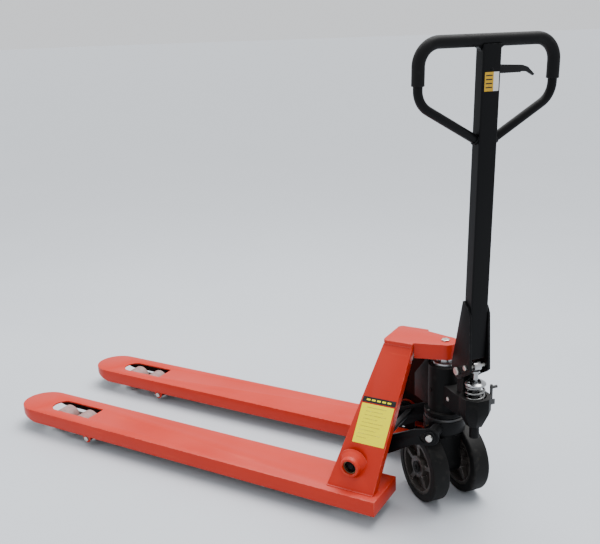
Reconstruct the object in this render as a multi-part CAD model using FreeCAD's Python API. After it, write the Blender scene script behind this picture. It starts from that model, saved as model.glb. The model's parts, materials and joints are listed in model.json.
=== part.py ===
import FreeCAD, Part
import math
import os

from FreeCAD import Vector

# A hand pallet truck. X runs along the forks with the tips at -X, Y runs across them and Z is up.
# Z = 0 is the floor, X = 0 the middle of the overall length. The forks are fully lowered, and the
# steered unit with its handle stands turned towards -Y. Millimetres and degrees throughout.

# Forks and frame
fork_length = 1370.0
fork_width = 150.0
overall_width = 520.0
fork_top = 80.0
fork_depth = 44.0
fork_sheet = 5.0
leg_sheet = 6.0
heel_x = 507.0
nose_length = 82.0
nose_rise = 26.0
heel_run = 165.0
leg_top_z = 455.0
crosshead_top_z = 465.0
crosshead_bottom_z = 421.0
boss_radius = 26.0
bush_radius = 20.0

# Lifting linkage
shaft_radius = 17.0
link_pin_radius = 8.0
rod_pin_radius = 7.0
trunnion_radius = 11.0
rocker_inner_face = 104.0
rocker_outer_face = 112.0
link_pivot_height = 26.0
link_lever = 38.0
link_swing = 76.0
rocker_swing = 33.6

# Load rollers, two in line in each fork
roller_radius = 37.0
roller_width = 56.0
roller_spacing = 92.0
roller_axle_radius = 6.0
roller_bush_radius = 12.0

# Steered unit
steer_angle = -39.0
wheel_radius = 100.0
wheel_width = 50.0
wheel_track = 126.0
tyre_depth = 22.0
axle_radius = 10.0
wheel_bearing_radius = 23.5
ram_radius = 20.0
pump_radius = 46.0
pump_foot_z = 256.0
pump_top_z = 400.0
pump_lug_half = 27.0
ram_foot_z = 268.0
housing_bottom = 282.0
housing_top = 365.0
spring_seat_z = 302.0
spring_bore_radius = 29.5
plunger_radius = 9.0
dome_rim = 400.0

# Handle
column_width = 49.0
column_depth = 33.0
column_wall = 3.0
cheek_sheet = 6.0
column_lean = 2.0
column_offset = 131.0
column_base_z = 300.0
loop_tube_radius = 11.0
grip_radius = 15.0
loop_half_width = 182.0
loop_top = 953.0
column_top = 945.0
release_height = 888.0
release_pin_radius = 4.0
tilt_pin_radius = 8.0
cam_pin_radius = 5.0
tilt_travel = 62.0
cam_arm = 46.0

# Clearances: play on the radius of a turning fit, and how far a cutting shape runs past a face
play = 0.05
past = 1.0

# Places that follow from the sizes above
axis_x = heel_x + 100.0
tip_x = heel_x - fork_length
fork_centre = (overall_width - fork_width) / 2.0
fork_bottom = fork_top - fork_depth
plate_underside = fork_top - fork_sheet
shaft_x = heel_x - 88.0
shaft_z = 145.0
trunnion_z = 226.0
bogie_x = heel_x - 1150.0
link_x = bogie_x + 110.0
plunger_v = 148.0
valve_v = 140.0
valve_z = 335.0
valve_radius = 9.0
valve_pin_y = 55.0
contact_roller_z = 447.5
contact_roller_radius = 12.0
handle_pivot_v = plunger_v - cam_arm * math.cos(math.radians(tilt_travel / 2))
handle_pivot_z = contact_roller_z - cam_arm * math.sin(math.radians(tilt_travel / 2))

along_x = Vector(1, 0, 0)
along_y = Vector(0, 1, 0)
along_z = Vector(0, 0, 1)

os.makedirs("parts", exist_ok=True)


def save(name, shape):
    """Write one sub-part, after a check that it is made of valid closed solids."""
    solids = shape.Solids
    if not solids or not shape.isValid():
        raise ValueError(name + " is not a valid solid")
    group = solids[0] if len(solids) == 1 else Part.makeCompound(solids)
    group.exportStep("parts/" + name + ".step")


def block(x0, x1, y0, y1, z0, z1):
    return Part.makeBox(x1 - x0, y1 - y0, z1 - z0, Vector(x0, y0, z0))


def post(radius, z0, z1, x=0.0, y=0.0):
    """Round bar along Z."""
    return Part.makeCylinder(radius, z1 - z0, Vector(x, y, z0), along_z)


def spindle(radius, y0, y1, x, z):
    """Round bar along Y."""
    return Part.makeCylinder(radius, y1 - y0, Vector(x, y0, z), along_y)


def side_plate(points, y0, y1):
    """Flat plate with an outline in XZ, from y0 to y1."""
    corners = [Vector(x, y0, z) for x, z in points]
    face = Part.Face(Part.makePolygon(corners + corners[:1]))
    return face.extrude(Vector(0, y1 - y0, 0))


def floor_plate(points, z0, z1):
    """Flat plate with an outline in XY, from z0 to z1."""
    corners = [Vector(x, y, z0) for x, y in points]
    face = Part.Face(Part.makePolygon(corners + corners[:1]))
    return face.extrude(Vector(0, 0, z1 - z0))


def arm(start, end, start_radius, end_radius, y0, y1):
    """Flat lever between two round ends, given as (x, z) points."""
    length = math.dist(start, end)
    nx = -(end[1] - start[1]) / length
    nz = (end[0] - start[0]) / length
    outline = [
        (start[0] + nx * start_radius, start[1] + nz * start_radius),
        (end[0] + nx * end_radius, end[1] + nz * end_radius),
        (end[0] - nx * end_radius, end[1] - nz * end_radius),
        (start[0] - nx * start_radius, start[1] - nz * start_radius),
    ]
    lever = side_plate(outline, y0, y1)
    lever = lever.fuse(spindle(start_radius, y0, y1, *start))
    return lever.fuse(spindle(end_radius, y0, y1, *end)).removeSplitter()


def frustum(lower, upper):
    """Straight-sided solid between two rectangles given as (x0, x1, y0, y1, z)."""
    wires = []
    for x0, x1, y0, y1, z in (lower, upper):
        corners = [Vector(x0, y0, z), Vector(x1, y0, z), Vector(x1, y1, z), Vector(x0, y1, z)]
        wires.append(Part.makePolygon(corners + corners[:1]))
    return Part.makeLoft(wires, True, True)


def mirrored(shape):
    return shape.mirror(Vector(0, 0, 0), along_y)


def to_side(shape, side):
    """A shape made for the left, -Y side, moved to the side asked for."""
    return shape if side == "left" else mirrored(shape)


def steered(shape):
    """Place a shape of the steered unit, made straight ahead about its axis at X = Y = 0."""
    placed = shape.copy()
    placed.rotate(Vector(0, 0, 0), along_z, steer_angle)
    placed.translate(Vector(axis_x, 0, 0))
    return placed


def leaned(shape):
    """Stand a shape, made with the column's centre line on Z, at the column's place and lean."""
    placed = shape.copy()
    placed.rotate(Vector(0, 0, 0), along_y, column_lean)
    placed.translate(Vector(column_offset, 0, column_base_z))
    return steered(placed)


def rounded_path(points, radii):
    """Straight runs between points, joined by tangent arcs of the given radii."""
    edges = []
    start = points[0]
    for before, corner, after, radius in zip(points, points[1:], points[2:], radii):
        to_before = (before - corner).normalize()
        to_after = (after - corner).normalize()
        half_turn = to_before.getAngle(to_after) / 2
        first = corner + to_before * (radius / math.tan(half_turn))
        last = corner + to_after * (radius / math.tan(half_turn))
        bisector = (to_before + to_after).normalize()
        middle = corner + bisector * (radius / math.sin(half_turn) - radius)
        edges.append(Part.LineSegment(start, first).toShape())
        edges.append(Part.Arc(first, middle, last).toShape())
        start = last
    edges.append(Part.LineSegment(start, points[-1]).toShape())
    return Part.Wire(edges)


def pipe(path, radius):
    first = path.OrderedVertexes[0].Point
    direction = path.OrderedEdges[0].tangentAt(path.OrderedEdges[0].FirstParameter)
    ring = Part.Wire(Part.makeCircle(radius, first, direction))
    return path.makePipeShell([ring], True, False)


def fork_prism(inset, z0, z1):
    """The fork's plan outline raised from z0 to z1."""
    half = fork_width / 2 - inset
    reach = nose_length - inset
    shoulder = tip_x + nose_length
    body = block(shoulder, heel_x - inset, -fork_centre - half, -fork_centre + half, z0, z1)
    nose = Part.makeCylinder(half, z1 - z0, Vector(0, 0, 0), along_z)
    stretch = FreeCAD.Matrix()
    stretch.A11 = reach / half
    nose = nose.transformGeometry(stretch)
    nose.translate(Vector(shoulder, -fork_centre, z0))
    nose = nose.common(block(tip_x - 1, shoulder, -fork_centre - half - 1,
                             -fork_centre + half + 1, z0, z1))
    return body.fuse(nose).removeSplitter()


def make_fork():
    """Pressed channel, open below, with a roller window and a rising nose."""
    fork = fork_prism(0.0, fork_bottom, fork_top)
    hollow = fork_prism(fork_sheet, fork_bottom - past, plate_underside)
    fork = fork.cut(hollow)
    rise_start = tip_x + nose_length + 10
    undercut = [
        (tip_x - past, fork_bottom - past),
        (rise_start + 20, fork_bottom - past),
        (rise_start, fork_bottom),
        (tip_x - past, fork_bottom + nose_rise),
    ]
    fork = fork.cut(side_plate(undercut, -overall_width, 0))
    window_rear = bogie_x + 92
    window_round = bogie_x - 57
    window_half = 36.0
    window = block(window_round, window_rear, -fork_centre - window_half,
                   -fork_centre + window_half, plate_underside - past, fork_top + past)
    window = window.fuse(post(window_half, plate_underside - past, fork_top + past,
                              window_round, -fork_centre))
    slot_half = 50.0
    lever_slot = block(shaft_x - slot_half, shaft_x + slot_half, -fork_centre - 18, -fork_centre + 20,
                       plate_underside - past, fork_top + past)
    fork = fork.cut(window).cut(lever_slot)
    lug_half = 16.0
    lug_radius = 14.0
    lug_sheet = 4.0
    for offset in (-1, 1):
        face_y = -fork_centre + offset * (fork_width - 2 * fork_sheet - lug_sheet) / 2
        low_y = face_y - lug_sheet / 2
        high_y = face_y + lug_sheet / 2
        lug = block(link_x - lug_half, link_x + lug_half, low_y, high_y, link_pivot_height,
                    plate_underside)
        fork = fork.fuse(lug.fuse(spindle(lug_radius, low_y, high_y, link_x, link_pivot_height)))
    bore = spindle(link_pin_radius, -overall_width, 0, link_x, link_pivot_height)
    fork = fork.cut(bore).removeSplitter()
    # The load face ends ahead of the leg, so the fork's faces are divided there.
    heel = block(heel_x - heel_run, heel_x + past, -overall_width, 0, 0, fork_top + past)
    return fork.cut(heel).fuse(fork.common(heel))


def leg_section(z, inset):
    """The leg's rectangle at height z: its outer face leans inwards and its edges converge."""
    share = (z - fork_top) / (leg_top_z - fork_top)
    front = heel_x - 155 + share * 98
    rear = heel_x - 15 + share * 43
    outer = -235 + share * 173
    flange = 34.0
    open_side = 40 * inset
    wall = 1.1 * inset
    return (front + inset, rear - inset, outer + wall, outer + flange + open_side, z)


def make_leg():
    """Folded plate channel, open towards the middle, that leans in to the crosshead."""
    overrun = 20.0
    leg = frustum(leg_section(fork_top, 0), leg_section(leg_top_z, 0))
    inside = frustum(leg_section(fork_top - overrun, leg_sheet), leg_section(leg_top_z + overrun, leg_sheet))
    hub = spindle(boss_radius, -240, -150, shaft_x, shaft_z)
    return leg.cut(inside).cut(hub)


def make_boss():
    """Round boss that carries the rocker shaft in the leg."""
    boss = spindle(boss_radius, -228, -186, shaft_x, shaft_z)
    cone = Part.makeCone(boss_radius + 4, boss_radius, 10, Vector(shaft_x, -219, shaft_z), Vector(0, -1, 0))
    boss = boss.fuse(cone.cut(make_leg()))
    bore = spindle(bush_radius, -230, -150, shaft_x, shaft_z)
    return boss.cut(bore).removeSplitter()


def make_crosshead():
    """Cap over both legs with a tongue back to the ram."""
    plate_bottom = leg_top_z
    cap_front = heel_x - 60
    cap_rear = heel_x + 28
    tongue_root = 52.0
    tongue_tip = 34.0
    web = 8.0
    cap_half = 63.0
    front_web_half = 26.0
    ram_cover = 14.0
    cap = block(cap_front, cap_rear, -cap_half, cap_half, plate_bottom, crosshead_top_z)
    outline = [(cap_rear, -tongue_root), (axis_x, -tongue_tip), (axis_x, tongue_tip),
               (cap_rear, tongue_root)]
    tongue = floor_plate(outline, crosshead_bottom_z, crosshead_top_z)
    tongue = tongue.fuse(post(tongue_tip, crosshead_bottom_z, crosshead_top_z, axis_x))
    hollow_rear = axis_x - 24
    root_half = tongue_root - web - 2
    tip_half = tongue_tip - web + 2
    hollow_outline = [(cap_rear + web, -root_half), (hollow_rear, -tip_half), (hollow_rear, tip_half),
                      (cap_rear + web, root_half)]
    hollow = floor_plate(hollow_outline, crosshead_bottom_z - past, plate_bottom)
    front_web = block(cap_front + web, cap_front + 2 * web, -front_web_half, front_web_half,
                      crosshead_bottom_z, plate_bottom)
    crosshead = cap.fuse(tongue).fuse(front_web).cut(hollow)
    socket = post(ram_radius, crosshead_bottom_z - past, crosshead_top_z - ram_cover, axis_x)
    return crosshead.cut(socket).removeSplitter(), socket.BoundBox.ZMax


def make_frame():
    fork = make_fork()
    leg = make_leg()
    boss = make_boss()
    bush = spindle(bush_radius, -222, -186, shaft_x, shaft_z)
    bush = bush.cut(spindle(shaft_radius + play, -230, -180, shaft_x, shaft_z))
    pivot = spindle(link_pin_radius, -fork_centre - fork_width / 2, -fork_centre + fork_width / 2,
                    link_x, link_pivot_height)
    for side in ("left", "right"):
        save("fork_" + side, to_side(fork, side))
        save("leg_" + side, to_side(leg, side))
    save("shaft_bosses", Part.makeCompound([boss, mirrored(boss)]))
    save("shaft_bushes", Part.makeCompound([bush, mirrored(bush)]))
    save("link_pivot_pins", Part.makeCompound([pivot, mirrored(pivot)]))
    crosshead, socket_top = make_crosshead()
    save("crosshead", crosshead)
    save("lift_ram", post(ram_radius, ram_foot_z, socket_top, axis_x))


def make_truss():
    """Bearing ring under the pump with a trunnion to each rocker arm."""
    ring_low = 208.0
    ring_top = 244.0
    bearing_top = 252.0
    inside_ring = 50.0
    trunnion_end = rocker_outer_face + 0.5
    washer_end = trunnion_end + 3.5
    head_end = washer_end + 8.0
    ring = post(58.0, ring_low, ring_top, axis_x)
    for side in (-1, 1):
        reach = sorted((side * inside_ring, side * trunnion_end))
        ring = ring.fuse(spindle(trunnion_radius, reach[0], reach[1], axis_x, trunnion_z))
        shoulder = sorted((side * inside_ring, side * (rocker_inner_face - 3)))
        ring = ring.fuse(spindle(trunnion_radius + 5, shoulder[0], shoulder[1], axis_x, trunnion_z))
    ring = ring.cut(post(37.5, ring_low - past, ring_top + past, axis_x))
    save("bearing_truss", ring.removeSplitter())
    bolts = []
    for side in (-1, 1):
        reach = sorted((side * trunnion_end, side * washer_end))
        washer = spindle(17.0, reach[0], reach[1], axis_x, trunnion_z)
        reach = sorted((side * washer_end, side * head_end))
        head = spindle(9.0, reach[0], reach[1], axis_x, trunnion_z)
        bolts.append(washer.fuse(head).removeSplitter())
    save("trunnion_bolts", Part.makeCompound(bolts))
    bearing = post(55.0, ring_top, bearing_top, axis_x)
    bearing = bearing.cut(post(38.0, ring_top - past, bearing_top + past, axis_x))
    save("thrust_bearing", bearing)


def make_rocker():
    """Two curved side arms on a shaft through both legs, with a lever down into each fork."""
    shaft = spindle(shaft_radius, -215, 215, shaft_x, shaft_z)
    save("rocker_shaft", shaft)
    eye_radius = 24.0
    outline = [
        (shaft_x - 12, shaft_z + 28), (shaft_x + 92, shaft_z + 70), (shaft_x + 140, shaft_z + 93),
        (axis_x + 4, trunnion_z + eye_radius), (axis_x + 4, trunnion_z - eye_radius),
        (shaft_x + 140, shaft_z + 48), (shaft_x + 85, shaft_z + 14), (shaft_x + 12, shaft_z - 28),
    ]
    plate = side_plate(outline, -rocker_outer_face, -rocker_inner_face)
    plate = plate.fuse(spindle(30.0, -rocker_outer_face, -rocker_inner_face, shaft_x, shaft_z))
    plate = plate.fuse(spindle(eye_radius, -rocker_outer_face, -rocker_inner_face, axis_x, trunnion_z))
    slot_half = 13.4
    slot_run = 19.0
    rise = math.atan2(trunnion_z - shaft_z, axis_x - shaft_x)
    inward = (axis_x - slot_run * math.cos(rise), trunnion_z - slot_run * math.sin(rise))
    slot = arm(inward, (axis_x, trunnion_z), slot_half, slot_half, -rocker_outer_face - past,
               -rocker_inner_face + past)
    plate = plate.cut(slot).cut(shaft).removeSplitter()
    save("rocker_arm_left", plate)
    save("rocker_arm_right", mirrored(plate))
    tie = [(shaft_x + 30, shaft_z + 34), (shaft_x + 52, shaft_z + 43), (shaft_x + 55, shaft_z + 35),
           (shaft_x + 33, shaft_z + 26)]
    save("rocker_tie", side_plate(tie, -rocker_inner_face, rocker_inner_face))
    swing = math.radians(rocker_swing / 2)
    lever_length = link_lever * math.sin(math.radians(link_swing / 2)) / math.sin(swing)
    pin = (shaft_x + lever_length * math.sin(swing), shaft_z - lever_length * math.cos(swing))
    lever_face = -fork_centre + 18
    lever = arm((shaft_x, shaft_z), pin, 26.0, 13.0, lever_face - 8, lever_face)
    lever = lever.cut(shaft).cut(spindle(rod_pin_radius, -fork_centre, 0, *pin))
    save("rod_levers", Part.makeCompound([lever, mirrored(lever)]))
    rod_pin = spindle(rod_pin_radius, -fork_centre - 11, lever_face, *pin)
    save("rod_pins", Part.makeCompound([rod_pin, mirrored(rod_pin)]))
    make_push_rods(pin)


def make_push_rods(rear):
    """Push rods under the fork tops: an eye at the rocker and an open saddle at the wheel link."""
    swing = math.radians(link_swing / 2)
    front = (link_x + link_lever * math.sin(swing), link_pivot_height + link_lever * math.cos(swing))
    slope = math.atan2(rear[1] - front[1], rear[0] - front[0])
    length = math.dist(rear, front)
    direction = Vector(math.cos(slope), 0, math.sin(slope))
    bar_radius = 6.5
    eye_radius = 13.0
    saddle_half = 11.0
    notch_radius = 7.0
    low_y = -fork_centre - 8
    high_y = -fork_centre + 8
    bar_start = Vector(front[0], -fork_centre, front[1]) + direction * 14
    bar = Part.makeCylinder(bar_radius, length - 2 * eye_radius, bar_start, direction)
    eye = spindle(eye_radius, low_y, high_y, *rear)
    saddle = block(front[0] - 14, front[0] + 22, low_y, high_y, front[1] - saddle_half,
                   front[1] + saddle_half)
    notch = spindle(notch_radius, low_y - past, high_y + past, *front)
    notch = notch.fuse(block(front[0] - notch_radius, front[0] + notch_radius, low_y - past, high_y + past,
                             front[1], front[1] + saddle_half + past))
    rod = bar.fuse(eye).fuse(saddle).cut(notch)
    rod = rod.cut(spindle(rod_pin_radius + play, low_y - past, high_y + past, *rear)).removeSplitter()
    for side in ("left", "right"):
        save("push_rod_" + side, to_side(rod, side))


def make_wheel_links():
    """Swinging links that push the load rollers down, each with its tandem bogie."""
    pivot = (link_x, link_pivot_height)
    bogie = (bogie_x, roller_radius)
    swing = math.radians(link_swing / 2)
    lever_end = (link_x + link_lever * math.sin(swing), link_pivot_height + link_lever * math.cos(swing))
    tube_radius = 12.0
    tube_half = 64.0
    cheek_face = 41.0
    lever_face = 16.0
    plate = 6.0
    bogie_pin_radius = 7.0
    link = spindle(tube_radius, -fork_centre - tube_half, -fork_centre + tube_half, *pivot)
    lever_pin = spindle(6.0, -fork_centre - lever_face, -fork_centre + lever_face, *lever_end)
    for side in (-1, 1):
        reach = sorted((-fork_centre + side * (cheek_face - plate), -fork_centre + side * cheek_face))
        link = link.fuse(arm(pivot, bogie, 14.0, 13.0, *reach))
        reach = sorted((-fork_centre + side * (lever_face - plate), -fork_centre + side * lever_face))
        link = link.fuse(arm(pivot, lever_end, tube_radius, 8.5, *reach))
    link = link.fuse(lever_pin)
    link = link.cut(spindle(link_pin_radius + play, -overall_width, 0, *pivot))
    link = link.cut(spindle(bogie_pin_radius, -overall_width, 0, *bogie)).removeSplitter()
    bogie_pin = spindle(bogie_pin_radius, -fork_centre - cheek_face, -fork_centre + cheek_face, *bogie)

    plates = []
    axles = []
    bushes = []
    half_spacing = roller_spacing / 2
    bush_half = roller_width / 2 + 1
    inner_face = 29.5
    outer_face = 34.0
    axle_half = outer_face + 0.5
    plate_radius = 14.0
    for side in (-1, 1):
        reach = sorted((-fork_centre + side * inner_face, -fork_centre + side * outer_face))
        plate = arm((bogie_x - half_spacing, roller_radius), (bogie_x + half_spacing, roller_radius),
                    plate_radius, plate_radius, *reach)
        plate = plate.cut(spindle(bogie_pin_radius + play, -overall_width, 0, *bogie))
        for end in (-1, 1):
            plate = plate.cut(spindle(roller_axle_radius, -overall_width, 0, bogie_x + end * half_spacing,
                                      roller_radius))
        plates.append(plate)
    for end in (-1, 1):
        x = bogie_x + end * half_spacing
        axle = spindle(roller_axle_radius, -fork_centre - axle_half, -fork_centre + axle_half, x,
                       roller_radius)
        bush = spindle(roller_bush_radius - play, -fork_centre - bush_half, -fork_centre + bush_half, x,
                       roller_radius)
        axles.append(axle)
        bushes.append(bush.cut(axle))
    for side in ("left", "right"):
        save("wheel_link_" + side, to_side(link, side))
        save("bogie_pin_" + side, to_side(bogie_pin, side))
        save("bogie_plates_" + side, to_side(Part.makeCompound(plates), side))
        save("roller_axles_" + side, to_side(Part.makeCompound(axles), side))
        save("roller_bushes_" + side, to_side(Part.makeCompound(bushes), side))
        for end, label in ((-1, "front"), (1, "rear")):
            save("roller_" + label + "_" + side, to_side(make_roller(bogie_x + end * half_spacing), side))


def make_roller(x):
    """Nylon load roller with rounded rims."""
    half = roller_width / 2
    roller = spindle(roller_radius, -fork_centre - half, -fork_centre + half, x, roller_radius)
    rims = [edge for edge in roller.Edges if edge.Closed and len(edge.Vertexes) == 1]
    roller = roller.makeChamfer(3.0, rims)
    return roller.cut(spindle(roller_bush_radius, -fork_centre - half, -fork_centre + half, x, roller_radius))


def make_pump_body():
    """Pump cylinder and flange, with the housing that holds the plunger and its spring."""
    flats = 39.0
    taper = 40.0
    flange_radius = 56.0
    flange_top = 268.0
    guide_foot = 246.0
    guide_floor = guide_foot + 4
    corner_turn = math.pi / 8
    octagon = []
    for z, half in ((housing_bottom, 21.0), (housing_bottom + taper, flats), (housing_top, flats)):
        corner = half / math.cos(corner_turn)
        ring = []
        for step in range(8):
            angle = corner_turn + step * math.pi / 4
            ring.append(Vector(plunger_v + corner * math.cos(angle), corner * math.sin(angle), z))
        octagon.append(Part.makePolygon(ring + ring[:1]))
    housing = Part.makeLoft(octagon[:2], True, True).fuse(Part.makeLoft(octagon[1:], True, True))
    housing = housing.fuse(post(13.0, guide_foot, housing_bottom + past, plunger_v))
    body = post(pump_radius, pump_foot_z, pump_top_z)
    body = body.fuse(post(flange_radius, pump_foot_z, flange_top))
    body = body.fuse(block(20, 116, -pump_lug_half, pump_lug_half, 296, 352))
    body = body.fuse(block(88, 117, -17, 17, 340, handle_pivot_z))
    body = body.fuse(spindle(15.0, -17, 17, handle_pivot_v, handle_pivot_z))
    body = body.fuse(housing)
    body = body.cut(post(ram_radius + play, 262, pump_top_z + past))
    body = body.cut(post(spring_bore_radius, spring_seat_z, housing_top + 60, plunger_v))
    body = body.cut(post(plunger_radius + play, guide_floor, spring_seat_z + past, plunger_v))
    body = body.cut(spindle(valve_radius, 30, 60, valve_v, valve_z))
    body = body.cut(spindle(tilt_pin_radius + play, -20, 20, handle_pivot_v, handle_pivot_z))
    save("pump_body", steered(body.removeSplitter()))


def make_lowering_valve():
    """Valve cartridge with two ears and a hinge pin, and the lever that rocks on it."""
    ear = 4.0
    ear_half = 7.0
    hinge_radius = 2.5
    knuckle_half = 4.6
    lever_top = valve_z + 46
    valve = spindle(valve_radius, 30, 50, valve_v, valve_z)
    valve = valve.cut(post(spring_bore_radius, spring_seat_z, dome_rim, plunger_v))
    for ear_start in (valve_v - 9, valve_v + 5):
        valve = valve.fuse(block(ear_start, ear_start + ear, 48, 61, valve_z - ear_half,
                                 valve_z + ear_half))
    hinge_pin = Part.makeCylinder(hinge_radius, 18, Vector(valve_v - 9, valve_pin_y, valve_z), along_x)
    save("lowering_valve", steered(valve.fuse(hinge_pin).removeSplitter()))

    blade_low = valve_pin_y - 2.6
    blade_high = valve_pin_y + 2.6
    knuckle_start = Vector(valve_v - knuckle_half, valve_pin_y, valve_z)
    lever = Part.makeCylinder(knuckle_half, 2 * knuckle_half, knuckle_start, along_x)
    lever = lever.fuse(block(valve_v - 3, valve_v + 3, blade_low, blade_high, valve_z, lever_top))
    lever = lever.fuse(spindle(4.0, blade_low, 72, valve_v, lever_top - 8))
    bore = Part.makeCylinder(hinge_radius + play, 20, Vector(valve_v - 10, valve_pin_y, valve_z), along_x)
    save("valve_lever", steered(lever.cut(bore).removeSplitter()))


def make_pump():
    """Cast base on the wheel axle, the pump on it, its oil tank and its valve."""
    base_half = 34.0
    neck_radius = 37.0
    base = block(-base_half, base_half, -33, 33, wheel_radius, 190)
    base = base.fuse(spindle(base_half, -33, 33, 0, wheel_radius))
    base = base.fuse(post(neck_radius, 186, pump_foot_z))
    base = base.cut(spindle(axle_radius, -40, 40, 0, wheel_radius)).removeSplitter()
    save("pump_base", steered(base))
    make_pump_body()

    tank_half = 38.0
    tank = side_plate([(-20, 406), (-38, 406), (-102, 338), (-102, 268.5), (-20, 268.5)], -tank_half,
                      tank_half)
    tank = tank.cut(post(pump_radius, 250, 410)).removeSplitter()
    save("oil_tank", steered(tank))
    gland_top = pump_top_z + 8
    gland = post(34.0, pump_top_z, gland_top)
    gland = gland.cut(post(ram_radius + play, pump_top_z - past, gland_top + past))
    save("ram_gland", steered(gland))
    make_lowering_valve()

    axle = spindle(axle_radius, -92, 92, 0, wheel_radius)
    save("wheel_axle", steered(axle))
    washer_start = (wheel_track + wheel_width) / 2 + 0.5
    washers = []
    for side in (-1, 1):
        reach = sorted((side * washer_start, side * (washer_start + 3)))
        washers.append(spindle(17.0, reach[0], reach[1], 0, wheel_radius).cut(axle))
    save("axle_washers", steered(Part.makeCompound(washers)))


def make_wheel(centre_y):
    """Five-spoke cast wheel with a bonded tyre and two bearings, about an axle along Y."""
    half = wheel_width / 2
    low = centre_y - half
    high = centre_y + half
    rim_radius = wheel_radius - tyre_depth
    tyre = spindle(wheel_radius, low, high, 0, wheel_radius)
    rims = [edge for edge in tyre.Edges if edge.Closed and len(edge.Vertexes) == 1]
    tyre = tyre.makeFillet(6.0, rims).cut(spindle(rim_radius, low, high, 0, wheel_radius))

    recess = 2.0
    rim_wall = 9.0
    web_half = 5.0
    spokes = 5
    spoke_half = 6.0
    spoke_reach = 19.0
    rim = spindle(rim_radius, low + recess, high - recess, 0, wheel_radius)
    rim = rim.cut(spindle(rim_radius - rim_wall, low, high, 0, wheel_radius))
    hub = spindle(31.0, low + recess, high - recess, 0, wheel_radius)
    web = spindle(rim_radius - rim_wall + 1, centre_y - web_half, centre_y + web_half, 0, wheel_radius)
    wheel = rim.fuse(hub).fuse(web)
    for step in range(spokes):
        spoke = block(-spoke_half, spoke_half, centre_y - spoke_reach, centre_y + spoke_reach,
                      wheel_radius + 24, wheel_radius + 72)
        spoke.rotate(Vector(0, centre_y, wheel_radius), along_y, 360.0 / spokes * step)
        wheel = wheel.fuse(spoke)
    wheel = wheel.cut(spindle(wheel_bearing_radius, low, high, 0, wheel_radius)).removeSplitter()

    race_width = 15.0
    bearings = []
    for start in (low + recess, high - recess - race_width):
        race = spindle(wheel_bearing_radius, start, start + race_width, 0, wheel_radius)
        bearings.append(race.cut(spindle(axle_radius + play, low, high, 0, wheel_radius)))
    return tyre, wheel, Part.makeCompound(bearings)


def make_steer_wheels():
    for side, sign in (("left", -1), ("right", 1)):
        tyre, wheel, bearings = make_wheel(sign * wheel_track / 2)
        save("wheel_tyre_" + side, steered(tyre))
        save("wheel_hub_" + side, steered(wheel))
        save("wheel_bearings_" + side, steered(bearings))


def make_plunger():
    """Pump plunger with its domed spring cap and push button, and the return spring."""
    dome_height = 10.0
    dome_radius = 27.5
    dome_skirt = 3.0
    sphere_radius = (dome_radius ** 2 + dome_height ** 2) / (2 * dome_height)
    dome = Part.makeSphere(sphere_radius, Vector(plunger_v, 0, dome_rim + dome_height - sphere_radius))
    dome = dome.common(post(dome_radius, dome_rim, dome_rim + 20, plunger_v))
    plunger = dome.fuse(post(dome_radius, dome_rim - dome_skirt, dome_rim, plunger_v))
    button_foot = dome_rim + 30
    button_top = contact_roller_z - contact_roller_radius - 0.3
    plunger = plunger.fuse(post(plunger_radius, spring_seat_z, dome_rim, plunger_v))
    plunger = plunger.fuse(post(6.0, dome_rim, button_foot, plunger_v))
    plunger = plunger.fuse(post(11.0, button_foot, button_top, plunger_v)).removeSplitter()
    save("pump_plunger", steered(plunger))

    wire_radius = 3.2
    coil_radius = 22.5
    coil_gap = 0.2
    turns = 6
    coil_start = spring_seat_z + wire_radius + coil_gap
    coil_height = dome_rim - dome_skirt - wire_radius - coil_gap - coil_start
    helix = Part.makeHelix(coil_height / turns, coil_height, coil_radius)
    ring = Part.Wire(Part.makeCircle(wire_radius, Vector(coil_radius, 0, 0), along_y))
    spring = Part.Wire(helix).makePipeShell([ring], True, True)
    spring.translate(Vector(plunger_v, 0, coil_start))
    save("plunger_spring", steered(spring))


def round_long_edges(bar, radius):
    """Round the long edges of an upright box section."""
    long_edges = [edge for edge in bar.Edges if abs(edge.Vertexes[0].Z - edge.Vertexes[-1].Z) > 100]
    return bar.makeFillet(radius, long_edges)


def make_handle():
    """Clevis, column, loop with its rubber cover, contact roller and the release lever."""
    half_width = column_width / 2
    half_depth = column_depth / 2
    column_low = 170.0
    column = block(-half_depth, half_depth, -half_width, half_width, column_low, column_top)
    outer_column = round_long_edges(column, 4.0)
    hollow = block(-half_depth + column_wall, half_depth - column_wall, -half_width + column_wall,
                   half_width - column_wall, column_low - past, column_top + past)
    lever_slot = block(-4.5, 4.5, 0, half_width + past, 866, 910)
    column = outer_column.cut(hollow).cut(lever_slot).cut(release_bore(release_pin_radius))

    fork_half = 19.0
    fork_z = 725.0
    hip_z = 819.0
    grip_end = 860.0
    hip_bend = 55.0
    top_bend = 52.0
    points = [Vector(0, -fork_half, fork_z), Vector(0, -loop_half_width, hip_z),
              Vector(0, -loop_half_width, loop_top), Vector(0, loop_half_width, loop_top),
              Vector(0, loop_half_width, hip_z), Vector(0, fork_half, fork_z)]
    loop = pipe(rounded_path(points, [hip_bend, top_bend, top_bend, hip_bend]), loop_tube_radius)
    grip_points = [Vector(0, -loop_half_width, grip_end), Vector(0, -loop_half_width, loop_top),
                   Vector(0, loop_half_width, loop_top), Vector(0, loop_half_width, grip_end)]
    grip = pipe(rounded_path(grip_points, [top_bend, top_bend]), grip_radius).cut(loop)
    grip = grip.cut(block(-half_depth, half_depth, -half_width, half_width, 900, column_top))
    save("grip_cover", leaned(grip))
    save("handle_column", leaned(column.cut(loop)))
    save("handle_loop", leaned(loop.cut(outer_column)))
    make_clevis(leaned(outer_column))
    make_release()


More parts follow.
